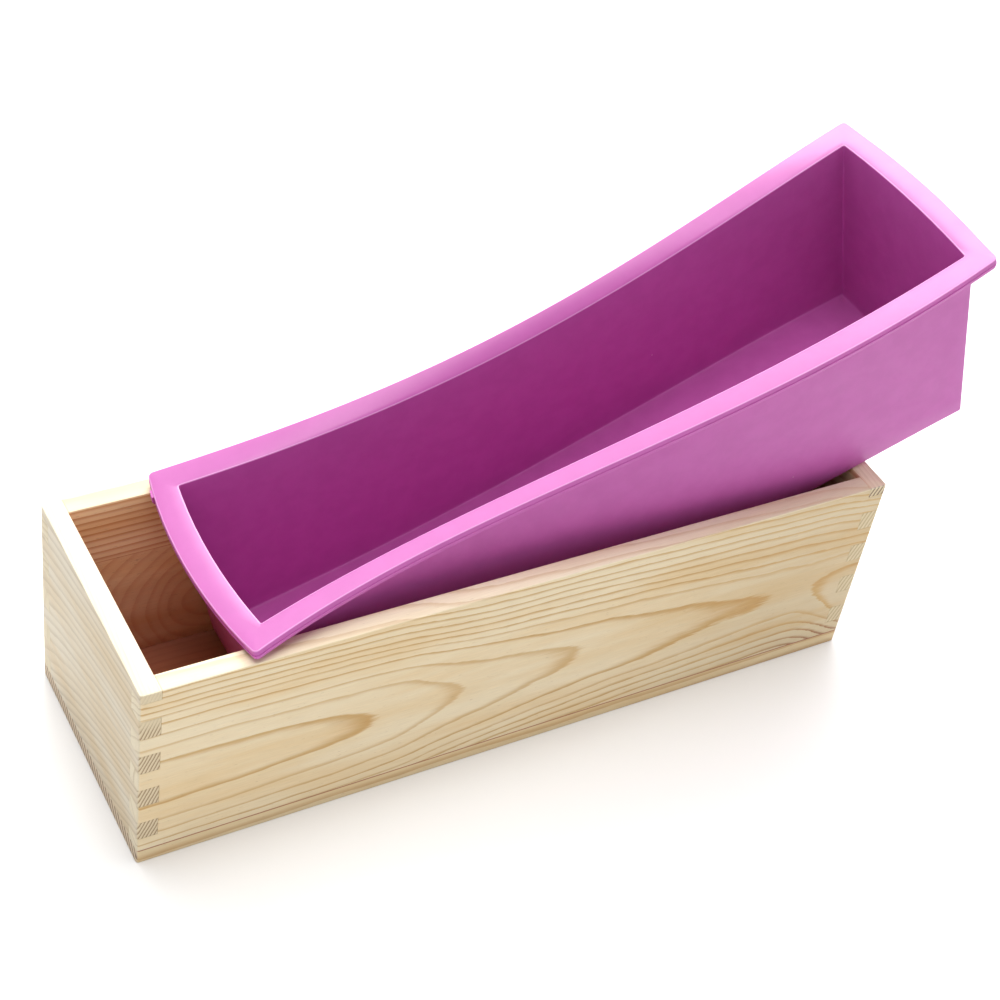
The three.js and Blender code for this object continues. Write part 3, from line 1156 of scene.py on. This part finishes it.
def make_silicone():
    """Satin silicone, with masks worked out from the places of the straight liner."""
    material = bpy.data.materials.new("orchid silicone")
    material.use_nodes = True
    nodes = material.node_tree
    coordinates = nodes.nodes.new("ShaderNodeTexCoord")
    place = coordinates.outputs["Object"]
    clouds = noise(nodes, place, 130.0, 3.0, 0.62)
    skin = noise(nodes, place, 900.0, 3.0, 0.6)
    wipe = noise(nodes, scaled(nodes, place, (30, 120, 120)), 1.0, 3.0, 0.6)
    body = blend_colours(
        nodes, ramp(nodes, clouds, 0.3, 0.7), linear(188, 92, 168), linear(193, 96, 173)
    )
    dots = nodes.nodes.new("ShaderNodeTexVoronoi")
    plug(nodes, place, dots.inputs["Vector"])
    dots.inputs["Scale"].default_value = 95.0
    pick = nodes.nodes.new("ShaderNodeSeparateColor")
    plug(nodes, dots.outputs["Color"], pick.inputs[0])
    chosen = ramp(nodes, pick.outputs[0], 0.955, 0.965)
    small = ramp(nodes, dots.outputs["Distance"], 0.018, 0.036, 1.0, 0.0)
    speck = times(nodes, times(nodes, chosen, small), 0.75)
    kept = nodes.nodes.new("ShaderNodeAttribute")
    kept.attribute_name = "mould_place"
    parts = nodes.nodes.new("ShaderNodeSeparateXYZ")
    plug(nodes, kept.outputs["Vector"], parts.inputs[0])
    outer = edge_distance(nodes, parts.outputs, FLANGE_LENGTH, FLANGE_WIDTH, FLANGE_RADIUS)
    opening = edge_distance(nodes, parts.outputs, OPENING_LENGTH, OPENING_WIDTH, OPENING_RADIUS)
    outer_lip = ramp(nodes, outer, -0.60, -0.25)
    inner_lip = ramp(nodes, maths(nodes, "ABSOLUTE", opening), 0.25, 0.60, 1.0, 0.0)
    on_top = ramp(nodes, parts.outputs[2], -0.45, -0.15)
    lip_band = times(nodes, maths(nodes, "MAXIMUM", outer_lip, inner_lip), on_top)
    # Painted highlight: a pale pink band along each lip of the flange's top.
    painted_lip_highlight = times(nodes, lip_band, 0.32)
    flange = blend_colours(nodes, times(nodes, on_top, 0.35), body, linear(160, 72, 140))
    with_lip_highlight = blend_colours(nodes, painted_lip_highlight, flange, linear(255, 205, 250))
    dusty = blend_colours(nodes, speck, with_lip_highlight, linear(246, 226, 240))
    shader = nodes.nodes["Principled BSDF"]
    plug(nodes, dusty, shader.inputs["Base Color"])
    rough = plus(nodes, ramp(nodes, wipe, 0.25, 0.75, 0.35, 0.42), times(nodes, speck, 0.3))
    plug(nodes, rough, shader.inputs["Roughness"])
    shader.inputs["Specular IOR Level"].default_value = 0.28
    plug(nodes, times(nodes, on_top, 0.45), shader.inputs["Coat Weight"])
    shader.inputs["Coat Roughness"].default_value = 0.30
    shader.inputs["Subsurface Weight"].default_value = 0.18
    shader.inputs["Subsurface Radius"].default_value = (1.0, 0.35, 0.8)
    shader.inputs["Subsurface Scale"].default_value = 0.003
    bump = nodes.nodes.new("ShaderNodeBump")
    bump.inputs["Strength"].default_value = 0.12
    bump.inputs["Distance"].default_value = 0.00005
    plug(nodes, skin, bump.inputs["Height"])
    plug(nodes, bump.outputs[0], shader.inputs["Normal"])
    return material


dress(loaf_liner, make_silicone())

# %% [markdown]
# ## Floor and light
#
# Small goods are often shown on a white table under large soft lamps. The floor is one broad
# plane. A pale sky gives light from everywhere. Two lamps stand behind at the right: a broad
# one, like a window, and a smaller one that lays a sheen on the flange. A third hangs over the
# front and left and lights the tops. They leave a faint shadow on the table.

# %% The white table
clear_selection()
bpy.ops.mesh.primitive_plane_add(size=12, location=(0, 0, 0))
floor = bpy.context.object
floor.name = "white_table"
table_top = bpy.data.materials.new("white table")
table_top.use_nodes = True
paint = table_top.node_tree.nodes["Principled BSDF"]
paint.inputs["Base Color"].default_value = (0.90, 0.90, 0.905, 1)
paint.inputs["Roughness"].default_value = 0.55
paint.inputs["Specular IOR Level"].default_value = 0.25
floor.data.materials.append(table_top)


# %% The lamps and the sky
def add_soft_lamp(name, place, aim, size, power, colour):
    """A large square lamp that shines from a place towards a point."""
    data = bpy.data.lights.new(name, "AREA")
    data.shape = "SQUARE"
    data.size = size
    data.energy = power
    data.color = colour
    lamp = bpy.data.objects.new(name, data)
    bpy.context.scene.collection.objects.link(lamp)
    direction = Vector(aim) - Vector(place)
    lamp.rotation_euler = direction.to_track_quat("-Z", "Y").to_euler()
    lamp.location = place
    return lamp


add_soft_lamp("window", (0.35, 0.95, 1.5), (0, 0, 0.05), 2.5, 40, (1.0, 1.0, 0.99))
add_soft_lamp("sheen", (0.60, 1.05, 1.50), (0.10, 0, 0.15), 0.9, 20, (1.0, 1.0, 0.96))
add_soft_lamp("overhead", (-0.20, -0.12, 1.65), (0.03, 0, 0.1), 0.8, 11, (1.0, 1.0, 1.0))

sky = bpy.data.worlds.new("studio sky")
sky.use_nodes = True
sky.node_tree.nodes["Background"].inputs["Color"].default_value = (1.0, 1.0, 1.0, 1)
sky.node_tree.nodes["Background"].inputs["Strength"].default_value = 0.56
bpy.context.scene.world = sky
bpy.context.scene.view_settings.view_transform = "Standard"
